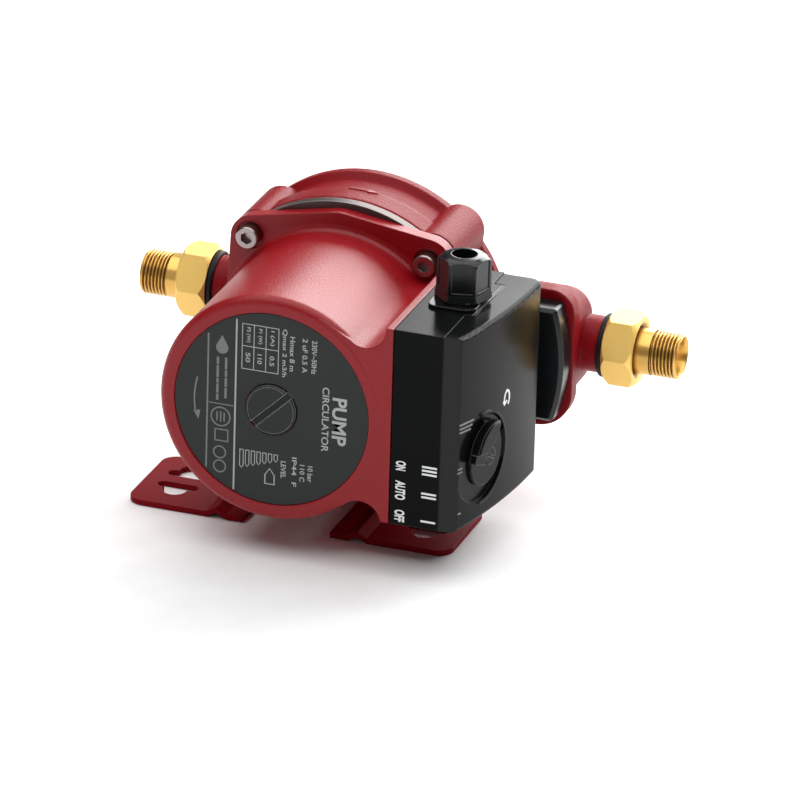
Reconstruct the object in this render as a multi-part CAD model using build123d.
"""Booster circulator pump with a flow switch, on a sheet-metal foot.

Millimetres.  X runs along the pipe axis (flow towards +X), -Y is the side of the motor's name
plate, +Z is up.  The pieces are drawn with the crossing of the motor axis and the pipe axis at
the origin, and lifted by AXIS_HEIGHT when they are written, so that Z = 0 is the floor.
"""
import math
import os
from build123d import *

os.makedirs("parts", exist_ok=True)

# ---- driving dimensions -------------------------------------------------------------------
AXIS_HEIGHT = 57.5          # pipe axis above the floor
PORT_TO_PORT = 160.0        # between the two threaded port faces
MOTOR_OFFSET = 63.7         # motor axis to the suction port face
PORT_THREAD_LENGTH = 6.0
PORT_THREAD_R = 10.478      # G 1/2
PORT_BORE_R = 8.3
STUB_R = 10.4
SUCTION_RING_X = PORT_THREAD_LENGTH - MOTOR_OFFSET
DISCHARGE_RING_X = PORT_TO_PORT - MOTOR_OFFSET - PORT_THREAD_LENGTH

# volute casing
CASING_R = 52.9
CASING_LEFT_X = -43.0
CASING_MOUTH_Y = -30.0
CASING_BACK_Y = 4.0
VOLUTE_R = 39.5
VOLUTE_BACK_Y = -15.5
EYE_R = 17.5
LUG_X = 33.8
LUG_Z = 36.2
LUG_R = 9.0
LEFT_LUG_SHIFT = (1.2, -1.2)   # the outlines of the left lugs sit closer to the axis than their screws
LEFT_LUG_R = 8.7
PLATE_SEAT_R = 46.5         # inside this radius the bearing plate is thin, outside it fills a step
PLATE_SEAT_Y = -27.2
PLATE_R = 52.2
SWITCH_FLANGE_FRONT_Y = -20.0
SWITCH_FLANGE_BACK_Y = -14.0
SWITCH_X = 68.0             # centre of the flow switch stem
PAD_BOTTOM_Z = -55.5

# motor
MOTOR_R = 42.5
MOTOR_BORE_R = 39.3
MOTOR_FRONT_Y = -103.4
RIM_ROUND = 3.0
FLANGE_FRONT_Y = -36.0
FLANGE_LEFT = 42.9
PLATE_FRONT_Y = -30.8       # bearing plate
PAD_LEFT_X = 42.0           # saddle that carries the terminal box
SADDLE_ARCH_R = 8.0         # hollow between the barrel and the saddle
BOX_LEFT_X = 44.7
LABEL_R = 36.2
LABEL_SEAT_Y = -102.5
LABEL_THICKNESS = 0.5
VENT_HEAD_R = 9.4
VENT_SEAT_Y = -99.2
VENT_SLOT_ANGLE = 44.0
VENT_SLOT_WIDTH = 2.5
CAN_R = 20.2
CAN_BORE_R = 19.8
CAN_FRONT_Y = -92.0
SHAFT_R = 4.0
RUNNING_GAP = 0.05
ROTOR_R = 19.2
STACK_FRONT_Y = -78.0
STACK_BACK_Y = -48.0
IMPELLER_R = 34.0

# terminal box
BOX_FRONT_Y = -103.0
BOX_REAR_Y = -37.5
BOX_TOP_Z = 38.0
BOX_BOTTOM_Z = -36.0
BOX_SPLIT_X = 63.4
WIRE_HOLE_Y = -48.0
BOX_WALL = 2.0
COVER_FRONT_X = 69.7
COVER_MID_X = 76.1
COVER_REAR_X = 78.3
GLAND_X = 58.0
GLAND_Y = -67.3
GLAND_TOP_Z = 55.5
GLAND_FOOT_Z = 39.2
GLAND_CAP_Z = 39.7
GLAND_HOLE_R = 4.6
GLAND_HEX_FLATS = 16.9
GLAND_HEX_TURN = 15.0
GLAND_TURN_R = 10.15        # the cap stays inside this, so that it clears the locking lug
DIAL_Y = -83.5
DIAL_Z = -12.5
DIAL_X = 73.9
DIAL_TILT = 9.0             # the side of the cover turns towards the front by this much
DISH_U = -3.2               # centre of the shallow dish, along the face from the dial's axis
DISH_R = 16.5
DISH_DEPTH = 1.2
BEZEL_WIDTH = 0.9
BEZEL_RISE = 0.6
KNOB_R = 11.3
TAB_R = 13.2
TAB_RISE = 4.0
MARK_ANGLE = 229.0          # direction of the lowest of the three marks

# foot
SHEET = 2.0
FOOT_LEFT_X = -64.1
FOOT_RIGHT_X = 59.4
FOOT_FRONT_Y = -78.0
FOOT_REAR_Y = -36.0
NOTCH_LEFT_X = -19.0
NOTCH_RIGHT_X = 14.3
NOTCH_BACK_Y = -43.0
STRIP_WIDTH = 6.5
RIB_WIDTH = 7.6
RIB_RISE = 2.0
TONGUE_HALF_WIDTH = 26.0
TONGUE_REAR_Y = 6.0
SLOT_INSET = 13.7
SLOT_FRONT_Y = -61.1
SLOT_SPACING_Y = 10.6
SLOT_LENGTH = 15.4
SLOT_R = 2.35
SLOT_BULGE_R = 4.5
SLOT_BULGE_SHIFT = 3.4
FOOT_SCREW_X = 15.0
FOOT_SCREW_Y = -11.0

# unions
NUT_ACROSS_FLATS = 24.4
NUT_LENGTH = 11.5
NUT_BORE_R = 10.8
NUT_LIP_R = 8.75
RING_THICKNESS = 2.2
RING_R = 11.7
RING_BORE_R = 10.75
GASKET_THICKNESS = 1.5
TAIL_FLANGE_R = 9.3
TAIL_FLANGE_THICKNESS = 2.5
TAIL_NECK_R = 8.1
TAIL_THREAD_R = 8.33        # R 3/8
TAIL_BORE_R = 6.6
TAIL_THREAD_LENGTH = 10.4
TAIL_LENGTH = 21.9


# ---- helpers ------------------------------------------------------------------------------
def cyl_x(radius, x0, x1, y=0.0, z=0.0):
    return Pos((x0 + x1) / 2, y, z) * Rot(0, 90, 0) * Cylinder(radius, abs(x1 - x0))


def cyl_y(radius, y0, y1, x=0.0, z=0.0):
    return Pos(x, (y0 + y1) / 2, z) * Rot(90, 0, 0) * Cylinder(radius, abs(y1 - y0))


def cyl_z(radius, z0, z1, x=0.0, y=0.0):
    return Pos(x, y, (z0 + z1) / 2) * Cylinder(radius, abs(z1 - z0))


def block(x0, x1, y0, y1, z0, z1):
    return Pos((x0 + x1) / 2, (y0 + y1) / 2, (z0 + z1) / 2) * Box(x1 - x0, y1 - y0, z1 - z0)


def slab_y(face, y0, y1):
    """A face drawn as (x, z), pulled from y1 towards the front to y0."""
    return extrude(Plane.XZ.offset(-y1) * face, amount=y1 - y0)


def slab_z(face, z0, z1):
    return extrude(Pos(0, 0, z0) * face, amount=z1 - z0)


def turned_y(points, x=0.0, z=0.0):
    """Revolve a closed (radius, y) outline about the motor axis, then shift it."""
    return Pos(x, 0, z) * revolve(Polygon(*points, align=None), axis=Axis.Y)


def turned_x(points):
    """Revolve a closed (x, radius) outline about the pipe axis."""
    return revolve(Polygon(*points, align=None), axis=Axis.X)


def turned_z(points, x=0.0, y=0.0):
    """Revolve a closed (radius, z) outline about a vertical line."""
    return Pos(x, y, 0) * revolve(Plane.XZ * Polygon(*points, align=None), axis=Axis.Z)


def round_edges(solid, larger_than):
    """The circular edges of a turned piece whose radius is over a given size."""
    return [e for e in solid.edges().filter_by(GeomType.CIRCLE) if e.radius > larger_than]


def hexagon(across_flats, turn=0.0):
    return RegularPolygon(across_flats / math.sqrt(3), 6, rotation=turn)


def write(node, *shapes):
    solids = []
    for shape in shapes:
        solids.extend(shape.solids())
    lifted = [Pos(0, 0, AXIS_HEIGHT) * solid for solid in solids]
    body = lifted[0] if len(lifted) == 1 else Compound(children=lifted)
    body.label = node
    export_step(body, f"parts/{node}.step")
    print(f"{node:26s} {len(lifted)} solid(s)")


def four_lugs():
    return [(LUG_X * sx, LUG_Z * sz) for sx in (-1, 1) for sz in (-1, 1)]


def lug_outlines():
    """Centre and radius of the round end of each lug."""
    rounds = [(LUG_X, LUG_Z * sz, LUG_R) for sz in (-1, 1)]
    left_x = LEFT_LUG_SHIFT[0] - LUG_X
    left_z = LUG_Z + LEFT_LUG_SHIFT[1]
    return rounds + [(left_x, left_z * sz, LEFT_LUG_R) for sz in (-1, 1)]


# ---- volute casing ------------------------------------------------------------------------
def casing_body():
    """Round casing with a shallow groove behind its front band, flattened on the suction side."""
    outline = [(0, CASING_MOUTH_Y), (PLATE_SEAT_R, CASING_MOUTH_Y), (PLATE_SEAT_R, PLATE_SEAT_Y)]
    outline += [(CASING_R - 1.0, PLATE_SEAT_Y), (CASING_R - 0.5, PLATE_SEAT_Y + 1), (CASING_R - 0.4, -17)]
    outline += [(CASING_R - 2.2, -14), (CASING_R - 2.2, -4), (CASING_R, -1.5)]
    outline += [(CASING_R, CASING_BACK_Y - 2), (CASING_R - 2.5, CASING_BACK_Y), (44, 8), (0, 8)]
    body = turned_y(outline)
    body += turned_y([(0, 7), (26, 7), (22, 13.5), (0, 13.5)])
    reach = 2 * CASING_R
    return body - block(-reach, CASING_LEFT_X, -reach, reach, -reach, reach)


def casing_lugs():
    """Round lugs with webs down to the middle; the left ones are shorter."""
    round_end = 3.0
    web_depth = 14.0
    lugs = None
    for x, z, radius in lug_outlines():
        rear = CASING_BACK_Y if x > 0 else CASING_BACK_Y - 5
        lug = turned_y([(0, CASING_MOUTH_Y), (radius, CASING_MOUTH_Y), (radius, rear - round_end),
                        (radius - round_end, rear), (0, rear)], x, z)
        web_x = (x - math.copysign(radius, x), x + math.copysign(radius, x) * 0.97)
        web_z = (z - math.copysign(radius + web_depth, z), z)
        lug += block(min(web_x), max(web_x), CASING_MOUTH_Y, rear - round_end, min(web_z), max(web_z))
        lugs = lug if lugs is None else lugs + lug
    return lugs - (cyl_y(PLATE_R + 0.1, CASING_MOUTH_Y - 1, PLATE_SEAT_Y) - cyl_y(PLATE_SEAT_R, -40, -20))


def switch_flange_outline():
    """Upright plate round the chamber, with larger rounds at its lower corners."""
    outline = Pos(66.5, 0) * Rectangle(36.2, 53)
    outline = fillet([v for v in outline.vertices() if v.Y > 0], 9)
    return fillet([v for v in outline.vertices() if v.Y < -26], 13)


def casing_switch_chamber():
    chamber = slab_y(Pos(62, 0) * RectangleRounded(44, 38, 10), SWITCH_FLANGE_BACK_Y, 9)
    rear = [e for e in chamber.edges() if abs(e.center().Y - 9) < 0.01]
    chamber = fillet(rear, 6)
    return chamber + slab_y(switch_flange_outline(), SWITCH_FLANGE_FRONT_Y, SWITCH_FLANGE_BACK_Y)


def port(ring_x, outward):
    """Stub and threaded end of one port; the thread is a row of ring grooves."""
    root = CASING_LEFT_X + 3 if outward < 0 else 78
    face = ring_x + outward * PORT_THREAD_LENGTH
    pitch = PORT_THREAD_LENGTH / 5
    outline = [(root, 0), (root, STUB_R), (ring_x, STUB_R)]
    for turn in range(4):
        start = ring_x + outward * pitch * (turn + 0.5)
        outline += [(start, PORT_THREAD_R), (start + outward * pitch * 0.5, PORT_THREAD_R - 0.9)]
    outline += [(face - outward * 0.5, PORT_THREAD_R), (face, PORT_THREAD_R - 0.6), (face, 0)]
    return turned_x(outline)


def pump_casing():
    casing = casing_body() + casing_lugs() + casing_switch_chamber()
    casing += cyl_x(13.5, CASING_LEFT_X, 10)
    casing += turned_x([(CASING_LEFT_X, 0), (CASING_LEFT_X, 13), (CASING_LEFT_X - 4, STUB_R),
                        (CASING_LEFT_X - 4, 0)])
    casing += port(SUCTION_RING_X, -1) + port(DISCHARGE_RING_X, 1)
    casing += block(-24, 24, -24, 2, PAD_BOTTOM_Z, -45)
    casing -= cyl_y(VOLUTE_R, CASING_MOUTH_Y, VOLUTE_BACK_Y, x=1)
    casing -= cyl_y(EYE_R, VOLUTE_BACK_Y - 1, 8.5)
    casing -= block(34, 48.5, -28, 0, -8, 8)
    casing -= cyl_x(PORT_BORE_R, -MOTOR_OFFSET, 0)
    casing -= cyl_x(PORT_BORE_R, 47, PORT_TO_PORT - MOTOR_OFFSET)
    casing -= block(SWITCH_X - 9, SWITCH_X + 8.5, SWITCH_FLANGE_FRONT_Y, 0, -7.5, 7.5)
    for x, z in four_lugs():
        casing -= cyl_y(2.52, CASING_MOUTH_Y, -12, x, z)
    for side in (-1, 1):
        casing -= cyl_z(2.52, PAD_BOTTOM_Z, -47, FOOT_SCREW_X * side, FOOT_SCREW_Y)
        casing -= cyl_y(1.52, SWITCH_FLANGE_FRONT_Y, -10, SWITCH_X, 17 * side)
    return casing


def wear_ring():
    return cyl_y(EYE_R - 0.03, -17.5, -12.5) - cyl_y(14.9, -18, -12)


# ---- motor --------------------------------------------------------------------------------
def motor_flange_outline():
    """Four corner lugs with slightly crowned edges between them at the top, the bottom and the left."""
    discs = Sketch() + [Pos(x, z) * Circle(radius) for x, z, radius in lug_outlines()]
    crown_r = 14.0
    discs += [Pos(0, z) * Circle(crown_r) for z in (-36, 36)]
    discs += [Pos(crown_r - FLANGE_LEFT, 0) * Circle(crown_r)]
    return make_hull(discs.edges())


def saddle_outline():
    """Upright saddle for the terminal box, with the webs that blend it into the barrel."""
    height = BOX_TOP_Z - BOX_BOTTOM_Z
    middle_z = (BOX_TOP_Z + BOX_BOTTOM_Z) / 2
    arch_x = PAD_LEFT_X - SADDLE_ARCH_R
    arch_z = math.sqrt((MOTOR_R + SADDLE_ARCH_R) ** 2 - arch_x ** 2)
    inside_x = arch_x - 2 * SADDLE_ARCH_R
    web = Pos(PAD_LEFT_X / 2, 0) * Rectangle(PAD_LEFT_X, 2 * arch_z)
    for side in (-1, 1):
        web -= Pos(arch_x, side * arch_z) * Circle(SADDLE_ARCH_R)
        touch = MOTOR_R / (MOTOR_R + SADDLE_ARCH_R)
        web -= Polygon((arch_x * touch, side * arch_z * touch), (arch_x, side * arch_z),
                       (inside_x, side * arch_z), align=None)
    web &= Pos(0, middle_z) * Rectangle(4 * PAD_LEFT_X, height)
    return web + Pos((PAD_LEFT_X + BOX_LEFT_X) / 2, middle_z) * Rectangle(BOX_LEFT_X - PAD_LEFT_X, height)


def rounded_barrel():
    outline = [(0, MOTOR_FRONT_Y)]
    for step in range(7):
        angle = math.radians(15 * step)
        outline.append((MOTOR_R - RIM_ROUND * (1 - math.sin(angle)),
                        MOTOR_FRONT_Y + RIM_ROUND * (1 - math.cos(angle))))
    outline += [(MOTOR_R, FLANGE_FRONT_Y), (0, FLANGE_FRONT_Y)]
    return turned_y(outline)


def motor_housing():
    housing = rounded_barrel() + slab_y(saddle_outline(), MOTOR_FRONT_Y + 0.2, FLANGE_FRONT_Y)
    housing += slab_y(motor_flange_outline(), FLANGE_FRONT_Y, PLATE_FRONT_Y)
    flare = turned_y([(MOTOR_R - 1, FLANGE_FRONT_Y - 3), (MOTOR_R, FLANGE_FRONT_Y - 3),
                      (MOTOR_R + 0.35, FLANGE_FRONT_Y - 1.4), (MOTOR_R + 1.3, FLANGE_FRONT_Y - 0.4),
                      (MOTOR_R + 2.8, FLANGE_FRONT_Y), (MOTOR_R - 1, FLANGE_FRONT_Y)])
    housing += flare
    housing -= cyl_y(MOTOR_BORE_R, VENT_SEAT_Y, PLATE_FRONT_Y)
    housing += cyl_y(13, VENT_SEAT_Y - 0.1, CAN_FRONT_Y)
    housing -= cyl_y(LABEL_R + 0.4, MOTOR_FRONT_Y, LABEL_SEAT_Y)
    housing -= cyl_y(VENT_HEAD_R + 0.4, MOTOR_FRONT_Y, VENT_SEAT_Y)
    housing -= cyl_y(6.9, MOTOR_FRONT_Y, CAN_FRONT_Y)
    housing -= cyl_y(41.6, -32.3, PLATE_FRONT_Y) - cyl_y(40.0, -33, PLATE_FRONT_Y)
    for x, z in four_lugs():
        housing -= cyl_y(2.75, FLANGE_FRONT_Y, PLATE_FRONT_Y, x, z)
        housing -= cyl_y(5.2, FLANGE_FRONT_Y - 4.5, FLANGE_FRONT_Y + 1, x, z)
    housing -= cyl_x(5, MOTOR_R - 8, BOX_LEFT_X, y=WIRE_HOLE_Y)
    for z in (-14, 14):
        housing -= cyl_x(2.02, MOTOR_BORE_R - 0.5, BOX_LEFT_X, y=-88, z=z)
    return housing


def label_plate():
    return cyl_y(LABEL_R, LABEL_SEAT_Y - LABEL_THICKNESS, LABEL_SEAT_Y) - cyl_y(VENT_HEAD_R + 0.5, -110, -90)


def vent_plug():
    plug = turned_y([(0, -104.2), (VENT_HEAD_R - 0.7, -104.2), (VENT_HEAD_R, -103.5), (VENT_HEAD_R, -100.7),
                     (6.5, -100.7), (6.5, -94.5), (5.6, -93.6), (0, -93.6)])
    half = VENT_SLOT_WIDTH / 2
    return plug - Rot(0, -VENT_SLOT_ANGLE, 0) * block(-12.0, 12.0, -106, -102.4, -half, half)


def vent_seal():
    return cyl_y(9.3, -100.7, VENT_SEAT_Y) - cyl_y(7.2, -102, -90)


def rotor_can():
    can = cyl_y(CAN_R, CAN_FRONT_Y, -31.6) - cyl_y(CAN_BORE_R, CAN_FRONT_Y + 1, -30)
    can += cyl_y(24, -31.6, PLATE_FRONT_Y) - cyl_y(CAN_BORE_R, -32, -30)
    can += cyl_y(10, CAN_FRONT_Y + 0.5, -81) - cyl_y(9.05, CAN_FRONT_Y - 1, -80)
    return can - cyl_y(5.5, CAN_FRONT_Y - 1, CAN_FRONT_Y + 2)


def outer_bearing():
    return cyl_y(9.0, -90.5, -81.3) - cyl_y(SHAFT_R + RUNNING_GAP, -95, -80)


def inner_bearing():
    return cyl_y(9.0, -41.5, -31.5) - cyl_y(SHAFT_R + RUNNING_GAP, -45, -30)


def bearing_plate():
    plate = cyl_y(PLATE_R, PLATE_FRONT_Y, PLATE_SEAT_Y) - cyl_y(PLATE_SEAT_R + 0.1, CASING_MOUTH_Y, -20)
    plate &= block(CASING_LEFT_X + 0.4, 60, -50, 0, -60, 60)
    plate += cyl_y(10.2, -42, PLATE_FRONT_Y + 0.1)
    plate -= cyl_y(9.05, -43, -31.2)
    plate -= cyl_y(5.0, -43, -20)
    for x, z in four_lugs():
        plate -= cyl_y(2.75, -40, -20, x, z)
    return plate


def housing_o_ring():
    return cyl_y(41.5, -32.2, PLATE_FRONT_Y) - cyl_y(40.1, -33, -30)


def stator_core():
    core = cyl_y(MOTOR_BORE_R - 0.03, STACK_FRONT_Y, STACK_BACK_Y) - cyl_y(CAN_R + 0.05, -80, -40)
    for slot in range(12):
        turn = Rot(0, 360 / 12 * slot, 0)
        core -= turn * block(25, 34, -80, -40, -2.2, 2.2)
    return core


def winding(y0, y1):
    ring = cyl_y(36, y0, y1) - cyl_y(23, y0 - 1, y1 + 1)
    return fillet(round_edges(ring, 20), 2)


def shaft():
    rod = cyl_y(SHAFT_R, -91.2, -16.5)
    rod -= block(-4.5, 4.5, -92, -90, -0.5, 0.5)
    return chamfer(rod.edges().sort_by(Axis.Y)[-1], 0.4)


def rotor_core():
    core = cyl_y(ROTOR_R, STACK_FRONT_Y, STACK_BACK_Y) - cyl_y(SHAFT_R + 0.01, -80, -40)
    return chamfer(round_edges(core, 10), 0.8)


def thrust_ring():
    return cyl_y(8.0, -80.6, STACK_FRONT_Y) - cyl_y(SHAFT_R + 0.01, -85, -70)


def impeller():
    wheel = cyl_y(IMPELLER_R, -28.6, -27.1) + cyl_y(7, -28.6, -17.5)
    vane = (Circle(28) - Circle(26.4)) & Pos(0, 15) * Rectangle(60, 26)
    vane = slab_y(Pos(-19, -9) * vane, -27.3, -20.0)
    keep = cyl_y(IMPELLER_R - 0.2, -30, -19) - cyl_y(12, -30, -19)
    vane = (vane & keep).solids().sort_by(SortBy.VOLUME)[-1]
    for blade in range(6):
        wheel += Rot(0, 60 * blade, 0) * vane
    return wheel - cyl_y(SHAFT_R + 0.01, -30, -10)


def impeller_shroud():
    shroud = cyl_y(IMPELLER_R, -20.0, -18.6) + cyl_y(14.5, -18.7, -13.0)
    return shroud - cyl_y(13.0, -30, -10)


def flange_screw(x, z):
    screw = cyl_y(4.2, -40.0, -35.0, x, z)
    rim = [e for e in screw.edges() if abs(e.center().Y + 40.0) < 0.01]
    screw = chamfer(rim, 0.4)
    screw += cyl_y(2.48, -35.1, -14, x, z)
    socket = slab_y(Pos(x, z) * hexagon(4.0, 30), -40.5, -37.4)
    return screw - socket


# ---- terminal box -------------------------------------------------------------------------
def cover_outline(offset=0.0):
    """Outline of the cover seen from above, split line to rounded rear corner."""
    front = BOX_FRONT_Y + offset
    rear = BOX_REAR_Y - offset
    front_corner = (COVER_FRONT_X - offset, front + 1.0)
    rear_corner = (COVER_REAR_X - offset, rear - 4.0)
    side = ThreePointArc(front_corner, (COVER_MID_X - offset, (front + rear) / 2), rear_corner)
    start = side @ 0
    end = side @ 1
    corner = RadiusArc(end, (COVER_REAR_X - 4.0 - offset, rear), -4.2)
    back = Line(corner @ 1, (BOX_SPLIT_X, rear))
    split = Line(back @ 1, (BOX_SPLIT_X, front))
    face = Line(split @ 1, start)
    return make_face([side, corner, back, split, face])


def gland_tab(grow=0.0):
    return block(BOX_SPLIT_X - 1, 67 + grow, -80 - grow, -49 + grow, BOX_TOP_Z - BOX_WALL - grow,
                 BOX_TOP_Z + grow)


def terminal_box_base():
    base = block(BOX_LEFT_X, BOX_SPLIT_X, BOX_FRONT_Y, BOX_REAR_Y, BOX_BOTTOM_Z, BOX_TOP_Z)
    upright = [e for e in base.edges().filter_by(Axis.Z) if abs(e.center().X - BOX_LEFT_X) < 0.01]
    base = fillet(upright, 0.8)
    base -= block(BOX_LEFT_X + BOX_WALL, BOX_SPLIT_X + 1, BOX_FRONT_Y + BOX_WALL, BOX_REAR_Y - BOX_WALL,
                  BOX_BOTTOM_Z + BOX_WALL, BOX_TOP_Z - BOX_WALL)
    base += gland_tab()
    base += block(58, 71, -61, -51, BOX_BOTTOM_Z + BOX_WALL - 0.1, -29) - block(
        BOX_SPLIT_X, 75, -65, -45, BOX_BOTTOM_Z, BOX_BOTTOM_Z + BOX_WALL + 0.1)
    base -= cyl_z(1.52, -40, -30, 68, -56)
    base -= cyl_z(7.6, 30, 40, GLAND_X, GLAND_Y)
    base -= cyl_x(5, 44, 48, y=WIRE_HOLE_Y)
    for z in (-14, 14):
        base -= cyl_x(2.2, 44, 48, y=-88, z=z)
    return base


def dial_plane():
    tilt = math.radians(DIAL_TILT)
    normal = (math.cos(tilt), -math.sin(tilt), 0)
    return Plane(origin=(DIAL_X, DIAL_Y, DIAL_Z), x_dir=(math.sin(tilt), math.cos(tilt), 0), z_dir=normal)


def dial_bezel():
    """Raised crescent round the rear half of the selector."""
    ring = Pos(DISH_U, 0) * (Circle(DISH_R + BEZEL_WIDTH) - Circle(DISH_R)) & Pos(10, 0) * Rectangle(30, 40)
    return extrude(dial_plane().offset(-DISH_DEPTH) * ring, amount=DISH_DEPTH + BEZEL_RISE)


def dial_dish():
    """Shallow dish in which the selector turns, with a lens-shaped land along its upper edge."""
    lens = Pos(DISH_U, 0) * Circle(DISH_R - 0.5)
    lens &= Rot(0, 0, 60) * Pos(11.8 + DISH_R, 0) * Rectangle(2 * DISH_R, 4 * DISH_R)
    dish = extrude(dial_plane().offset(-DISH_DEPTH) * Pos(DISH_U, 0) * Circle(DISH_R), amount=6)
    return dish - extrude(dial_plane().offset(-DISH_DEPTH) * lens, amount=DISH_DEPTH - 0.1)


def terminal_box_cover():
    cover = slab_z(cover_outline(), BOX_BOTTOM_Z, BOX_TOP_Z)
    rims = [e for e in cover.edges() if abs(e.center().X - BOX_SPLIT_X) > 3]
    level = [e for e in rims if min(abs(e.center().Z - z) for z in (BOX_TOP_Z, BOX_BOTTOM_Z)) < 0.01]
    level = [e for e in level if e.center().X > COVER_FRONT_X]
    cover = fillet(level, 1.6)
    inner = slab_z(cover_outline(BOX_WALL), BOX_BOTTOM_Z + BOX_WALL, BOX_TOP_Z - BOX_WALL)
    cover -= inner
    seat = extrude(dial_plane().offset(-4.0) * Pos(DISH_U, 0) * Circle(DISH_R + 1), amount=2.9)
    cover += seat & slab_z(cover_outline(0.5), BOX_BOTTOM_Z, BOX_TOP_Z)
    cover -= dial_dish()
    cover += dial_bezel()
    cover &= block(BOX_SPLIT_X, 90, -110, 0, -50, 50)
    cover -= extrude(dial_plane().offset(-6) * Circle(3.4), amount=12)
    cover -= gland_tab(0.15)
    countersink = turned_z([(0, BOX_BOTTOM_Z), (3.1, BOX_BOTTOM_Z), (1.7, BOX_BOTTOM_Z + 1.5),
                            (1.7, BOX_BOTTOM_Z + 4), (0, BOX_BOTTOM_Z + 4)], 68, -56)
    return cover - countersink


def cover_screw():
    screw = turned_z([(0, BOX_BOTTOM_Z), (3.0, BOX_BOTTOM_Z), (1.5, BOX_BOTTOM_Z + 1.6),
                      (1.5, BOX_BOTTOM_Z + 5.8), (0, BOX_BOTTOM_Z + 5.8)], 68, -56)
    for turn in (0, 90):
        screw -= Pos(68, -56, BOX_BOTTOM_Z) * Rot(0, 0, turn) * Box(3.6, 0.7, 1.6)
    return screw


def box_screw(z):
    screw = cyl_x(3.4, BOX_LEFT_X + BOX_WALL, BOX_LEFT_X + BOX_WALL + 2.6, y=-88, z=z)
    screw += cyl_x(1.98, BOX_LEFT_X - 4.8, BOX_LEFT_X + BOX_WALL + 0.1, y=-88, z=z)
    return screw - block(48, 50, -92, -84, z - 0.5, z + 0.5)


def wire_grommet():
    grommet = cyl_x(4.95, 42, 47.5, y=WIRE_HOLE_Y) + cyl_x(6.5, BOX_LEFT_X + BOX_WALL, 48.5, y=WIRE_HOLE_Y)
    return grommet - cyl_x(3, 40, 50, y=WIRE_HOLE_Y)


def capacitor():
    can = cyl_y(8.5, -72, -46, 56.5, -19)
    return fillet(round_edges(can, 8), 1.0)


def terminal_block():
    body = block(BOX_LEFT_X + BOX_WALL, 57, -70, -56, 2, 24)
    for row in range(3):
        z = 6 + 7 * row
        body -= cyl_y(1.8, -70, -60, 54, z)
        body -= cyl_x(1.62, 52, 58, y=-61, z=z)
    return body


def terminal_screw(row):
    z = 6 + 7 * row
    return cyl_x(1.6, 52.2, 57.6, y=-61, z=z) - block(57, 58, -63, -59, z - 0.25, z + 0.25)


def selector_switch():
    body = extrude(dial_plane().offset(-14.5) * RectangleRounded(18, 18, 2), amount=10.2)
    return body - extrude(dial_plane().offset(-13) * Circle(3.3), amount=14)


def selector_knob():
    """Low disc with a curved finger tab, a pointer for the three marks, and its spindle."""
    plane = dial_plane()
    floor = -DISH_DEPTH + 0.2
    knob = extrude(plane.offset(floor) * Circle(KNOB_R), amount=-floor)
    knob += extrude(plane.offset(-0.1) * Circle(KNOB_R), amount=0.4, taper=45)
    tab = Circle(TAB_R) & Rot(0, 0, 117) * Pos(17.0, 0) * Circle(11.6)
    blade = extrude(plane.offset(0.25) * tab, amount=TAB_RISE - 0.25)
    top = [e for e in blade.edges() if abs(plane.to_local_coords(e.center()).Z - TAB_RISE) < 0.05]
    knob += chamfer(top, 0.7)
    grip = Rot(0, 0, 160) * Pos(8.6, 0) * Rectangle(7.6, 6.4)
    knob += extrude(plane.offset(0.1) * (grip & Circle(TAB_R - 0.6)), amount=TAB_RISE - 1.5)
    pointer = Rot(0, 0, MARK_ANGLE) * Polygon((2.6, -3.6), (2.6, 3.6), (KNOB_R - 0.2, 0), align=None)
    knob += extrude(plane.offset(0.1) * pointer, amount=1.1)
    hub = extrude(plane.offset(0.1) * Circle(3.2), amount=1.9)
    knob += hub - extrude(plane.offset(1.2) * (Rot(0, 0, -28) * Rectangle(8, 0.9)), amount=2)
    knob += extrude(plane.offset(-12.5) * Circle(3.0), amount=12.6)
    return knob


def gland_body():
    """Fixed lower half of the cable gland: foot plate with a locking lug, collar and threaded throat."""
    foot = slab_z(Pos(GLAND_X - 1, GLAND_Y - 1.2) * RectangleRounded(17.6, 22, 4), BOX_TOP_Z, GLAND_FOOT_Z)
    collar = cyl_z(8.8, BOX_TOP_Z + 0.5, GLAND_CAP_Z - 0.1, GLAND_X, GLAND_Y)
    throat = cyl_z(7.2, 31, BOX_TOP_Z + 9, GLAND_X, GLAND_Y)
    lock = slab_z(Pos(GLAND_X, GLAND_Y) * hexagon(17), 32.4, BOX_TOP_Z - BOX_WALL)
    lug = Pos(GLAND_X + 5.1, GLAND_Y - 10.0, GLAND_FOOT_Z + 0.9) * Rot(0, 0, 20) * Box(1.8, 1.6, 2.2)
    gland = foot + collar + throat + lock + lug
    return gland - cyl_z(5.2, 30, 50, GLAND_X, GLAND_Y)


def gland_seal():
    rubber = cyl_z(7.1, BOX_TOP_Z + 9, BOX_TOP_Z + 12.8, GLAND_X, GLAND_Y)
    return rubber - cyl_z(GLAND_HOLE_R, 40, 60, GLAND_X, GLAND_Y)


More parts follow.
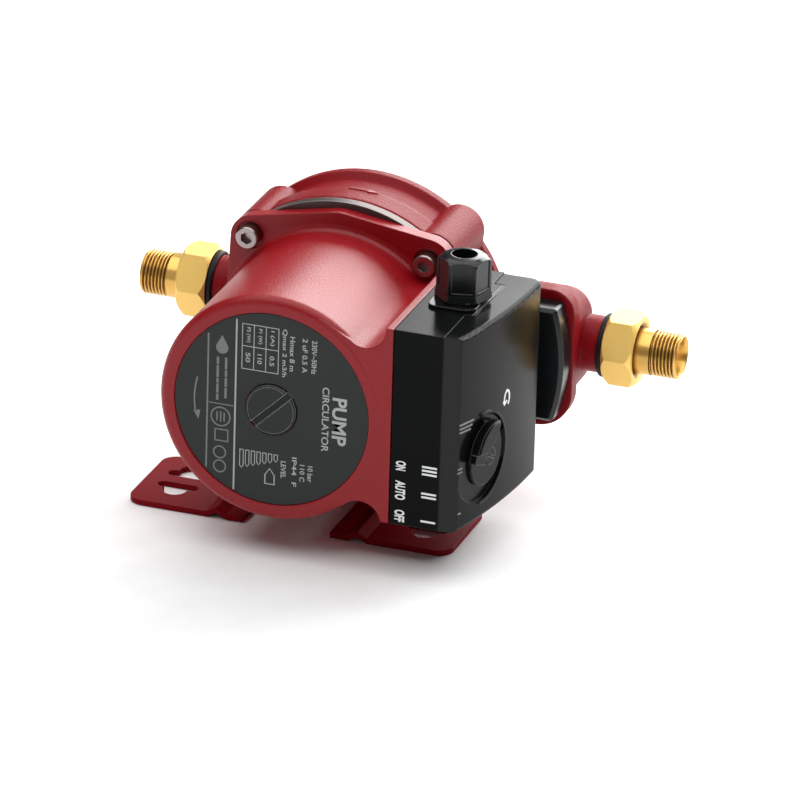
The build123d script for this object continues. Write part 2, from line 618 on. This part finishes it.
def gland_cap():
    """Hexagon cap with a shallow panel in each flat, under a dome."""
    corner_r = GLAND_HEX_FLATS / math.sqrt(3)
    cap = slab_z(Pos(GLAND_X, GLAND_Y) * hexagon(GLAND_HEX_FLATS, GLAND_HEX_TURN), GLAND_CAP_Z, GLAND_TOP_Z)
    skirt = Pos(GLAND_X, GLAND_Y, GLAND_CAP_Z) * hexagon(GLAND_HEX_FLATS + 1.5, GLAND_HEX_TURN)
    cap += extrude(skirt, amount=2.6, taper=16)
    panel_z = (GLAND_CAP_Z + 3.6, GLAND_TOP_Z)
    for side in range(6):
        panel = block(GLAND_HEX_FLATS / 2 - 0.35, 12, -corner_r / 2 + 1.15, corner_r / 2 - 1.15, *panel_z)
        cap -= Pos(GLAND_X, GLAND_Y, 0) * Rot(0, 0, GLAND_HEX_TURN + 30 + 60 * side) * panel
    dome = [(0, BOX_TOP_Z), (GLAND_TURN_R, BOX_TOP_Z), (GLAND_TURN_R, 44), (9.9, GLAND_TOP_Z - 2.7)]
    dome += [(9.0, GLAND_TOP_Z - 1.6), (8.0, GLAND_TOP_Z - 0.9), (6.5, GLAND_TOP_Z - 0.3)]
    dome += [(GLAND_HOLE_R, GLAND_TOP_Z), (0, GLAND_TOP_Z)]
    cap &= turned_z(dome, GLAND_X, GLAND_Y)
    cap -= cyl_z(7.6, BOX_TOP_Z, BOX_TOP_Z + 12.8, GLAND_X, GLAND_Y)
    return cap - cyl_z(GLAND_HOLE_R, 40, 60, GLAND_X, GLAND_Y)


# ---- flow switch --------------------------------------------------------------------------
def flow_switch_gasket():
    plate = slab_y(Pos(68, 0) * RectangleRounded(26, 41, 7), -20.5, SWITCH_FLANGE_FRONT_Y)
    plate -= slab_y(Pos(SWITCH_X - 0.25, 0) * Rectangle(18, 15.2), -21, -19)
    for z in (-17, 17):
        plate -= cyl_y(1.7, -22, -19, SWITCH_X, z)
    return plate


def flow_switch_housing():
    top_z = 23.0
    bottom_z = -20.5
    bulge = ThreePointArc((80.6, bottom_z), (84.0, 3.0), (80.6, top_z))
    top = Line((80.6, top_z), (55, top_z))
    left = Line((55, top_z), (55, bottom_z))
    bottom = Line((55, bottom_z), (80.6, bottom_z))
    body = slab_y(make_face([bulge, top, left, bottom]), -30, -20.5)
    body = fillet([e for e in body.edges().filter_by(Axis.Y)], 1.5)
    face = [e for e in body.edges() if abs(e.center().Y + 30) < 0.01]
    body = chamfer(face, 1.3)
    body -= block(59, 77, -28.2, -23, -12, 12)
    body += block(60, 76, -21, -13.2, 3.2, 6.6) + block(60, 76, -21, -13.2, -6.6, -3.2)
    body -= cyl_z(1.03, -8, 8, 65, -15.6)
    for z in (-17, 17):
        body -= cyl_y(1.7, -31, -20, SWITCH_X, z)
        body -= cyl_y(3.2, -31, -27.5, SWITCH_X, z)
    return body


def flow_switch_screw(z):
    screw = cyl_y(2.8, -30.0, -27.5, SWITCH_X, z) + cyl_y(1.48, -27.6, -12, SWITCH_X, z)
    return screw - slab_y(Pos(SWITCH_X, z) * hexagon(2.5), -31, -28.6)


def reed_switch():
    capsule = cyl_z(1.4, -8, 8, 66, -25.2)
    return fillet(round_edges(capsule, 1), 1.2)


def paddle_pin():
    return cyl_z(1.0, -6.5, 6.5, 65, -15.6)


def flow_paddle():
    arm = block(64, 66, -15.6, 0, -2.6, 2.6) + cyl_z(1.9, -2.6, 2.6, 65, -15.6)
    blade = cyl_x(6.3, 64, 66)
    paddle = arm + blade
    return paddle - cyl_z(1.0 + RUNNING_GAP, -8, 8, 65, -15.6)


def paddle_magnet():
    return cyl_x(1.8, 66, 67.6, y=-10.6)


# ---- foot ---------------------------------------------------------------------------------
def rib_points(left, right):
    """Underside of the sheet across the foot, as (x, rise), with the two ribs."""
    inner_left = NOTCH_LEFT_X - STRIP_WIDTH
    inner_right = NOTCH_RIGHT_X + STRIP_WIDTH
    return [(left, 0), (inner_left - RIB_WIDTH, 0), (inner_left - RIB_WIDTH / 2, RIB_RISE), (inner_left, 0),
            (inner_right, 0), (inner_right + RIB_WIDTH / 2, RIB_RISE), (inner_right + RIB_WIDTH, 0),
            (right, 0)]


def mounting_bracket():
    under = rib_points(FOOT_LEFT_X, FOOT_RIGHT_X)
    over = [(x, rise + SHEET) for x, rise in reversed(under)]
    floor = -AXIS_HEIGHT
    sheet = slab_y(Polygon(*[(x, floor + rise) for x, rise in under + over], align=None),
                   FOOT_FRONT_Y, FOOT_REAR_Y)
    width = FOOT_RIGHT_X - FOOT_LEFT_X
    depth = FOOT_REAR_Y - FOOT_FRONT_Y
    plan = Pos(FOOT_LEFT_X + width / 2, FOOT_FRONT_Y + depth / 2) * RectangleRounded(width, depth, 6)
    sheet &= slab_z(plan, floor, floor + SHEET + RIB_RISE)
    sheet -= block(NOTCH_LEFT_X, NOTCH_RIGHT_X, FOOT_FRONT_Y - 5, NOTCH_BACK_Y, floor - 1, floor + 6)
    sheet += block(-TONGUE_HALF_WIDTH + 1.5, TONGUE_HALF_WIDTH - 6, FOOT_REAR_Y - 4, TONGUE_REAR_Y, floor,
                   floor + SHEET)
    for x in (FOOT_LEFT_X + SLOT_INSET, FOOT_RIGHT_X - SLOT_INSET):
        for row, bulge in ((0, -1), (1, 1)):
            y = SLOT_FRONT_Y + SLOT_SPACING_Y * row
            slot = Pos(x, y) * SlotOverall(SLOT_LENGTH, 2 * SLOT_R)
            slot += Pos(x, y + bulge * SLOT_BULGE_SHIFT) * Circle(SLOT_BULGE_R)
            sheet -= slab_z(slot, floor - 1, floor + 6)
    for side in (-1, 1):
        sheet -= turned_z([(0, floor), (4.7, floor), (2.7, floor + SHEET), (0, floor + SHEET)],
                          FOOT_SCREW_X * side, FOOT_SCREW_Y)
    return sheet


def foot_screw(side):
    floor = -AXIS_HEIGHT
    x = FOOT_SCREW_X * side
    screw = turned_z([(0, floor), (4.6, floor), (2.48, floor + SHEET), (2.48, floor + 9), (0, floor + 9)],
                     x, FOOT_SCREW_Y)
    return screw - slab_z(Pos(x, FOOT_SCREW_Y) * hexagon(3.0), floor, floor + 1.6)


# ---- unions -------------------------------------------------------------------------------
def union_parts(ring_x, outward):
    """Seal ring, nut, gasket and tailpiece of one port."""
    def at(distance):
        return ring_x + outward * distance

    ring = cyl_x(RING_R, at(0), at(RING_THICKNESS)) - cyl_x(RING_BORE_R, at(-1), at(5))
    ring = fillet(round_edges(ring, 11), 0.7)

    near = RING_THICKNESS
    far = near + NUT_LENGTH
    corner = NUT_ACROSS_FLATS / math.sqrt(3)
    nut = Plane.YZ.offset(min(at(near), at(far))) * hexagon(NUT_ACROSS_FLATS)
    nut = extrude(nut, amount=NUT_LENGTH)
    nut &= turned_x([(at(near), 0), (at(near), corner - 1.9), (at(near + 2.0), corner + 0.1),
                     (at(far - 2.0), corner + 0.1), (at(far), corner - 1.9), (at(far), 0)])
    face_x = PORT_THREAD_LENGTH + GASKET_THICKNESS + TAIL_FLANGE_THICKNESS
    nut -= turned_x([(at(near), 0), (at(near), NUT_BORE_R + 0.7), (at(near + 0.7), NUT_BORE_R),
                     (at(face_x + 0.3), NUT_BORE_R), (at(face_x + 0.3), NUT_LIP_R),
                     (at(far - 1.2), NUT_LIP_R), (at(far), 10.4), (at(far), 0)])

    gasket_x = PORT_THREAD_LENGTH
    gasket = cyl_x(9.4, at(gasket_x), at(gasket_x + GASKET_THICKNESS)) - cyl_x(6.8, at(0), at(20))

    tail_x = gasket_x + GASKET_THICKNESS
    end = tail_x + TAIL_LENGTH
    tail = turned_x([(at(tail_x), TAIL_BORE_R), (at(tail_x), TAIL_FLANGE_R),
                     (at(face_x), TAIL_FLANGE_R), (at(face_x), TAIL_NECK_R),
                     (at(end - TAIL_THREAD_LENGTH), TAIL_NECK_R),
                     (at(end - TAIL_THREAD_LENGTH), TAIL_THREAD_R),
                     (at(end), TAIL_THREAD_R), (at(end), TAIL_BORE_R)])
    return ring, nut, gasket, tail


# ---- write the nodes ----------------------------------------------------------------------
write("pump_casing", pump_casing())
write("wear_ring", wear_ring())
write("motor_housing", motor_housing())
write("label_plate", label_plate())
write("vent_plug", vent_plug())
write("vent_seal", vent_seal())
write("rotor_can", rotor_can())
write("outer_bearing", outer_bearing())
write("inner_bearing", inner_bearing())
write("bearing_plate", bearing_plate())
write("housing_o_ring", housing_o_ring())
write("stator_core", stator_core())
write("front_winding", winding(-88, -78.1))
write("rear_winding", winding(-47.9, -39))
write("shaft", shaft())
write("rotor_core", rotor_core())
write("thrust_ring", thrust_ring())
write("impeller", impeller())
write("impeller_shroud", impeller_shroud())
write("flange_screws", *[flange_screw(x, z) for x, z in four_lugs()])
write("terminal_box_base", terminal_box_base())
write("terminal_box_cover", terminal_box_cover())
write("cover_screw", cover_screw())
write("box_screws", *[box_screw(z) for z in (-14, 14)])
write("wire_grommet", wire_grommet())
write("capacitor", capacitor())
write("terminal_block", terminal_block())
write("terminal_screws", *[terminal_screw(row) for row in range(3)])
write("selector_switch", selector_switch())
write("selector_knob", selector_knob())
write("gland_body", gland_body())
write("gland_seal", gland_seal())
write("gland_cap", gland_cap())
write("flow_switch_gasket", flow_switch_gasket())
write("flow_switch_housing", flow_switch_housing())
write("flow_switch_screws", *[flow_switch_screw(z) for z in (-17, 17)])
write("reed_switch", reed_switch())
write("paddle_pin", paddle_pin())
write("flow_paddle", flow_paddle())
write("paddle_magnet", paddle_magnet())
write("mounting_bracket", mounting_bracket())
write("foot_screws", *[foot_screw(side) for side in (-1, 1)])
for side_name, ring_x, outward in (("suction", SUCTION_RING_X, -1), ("discharge", DISCHARGE_RING_X, 1)):
    ring, nut, gasket, tail = union_parts(ring_x, outward)
    write(f"{side_name}_seal_ring", ring)
    write(f"{side_name}_union_nut", nut)
    write(f"{side_name}_gasket", gasket)
    write(f"{side_name}_tailpiece", tail)
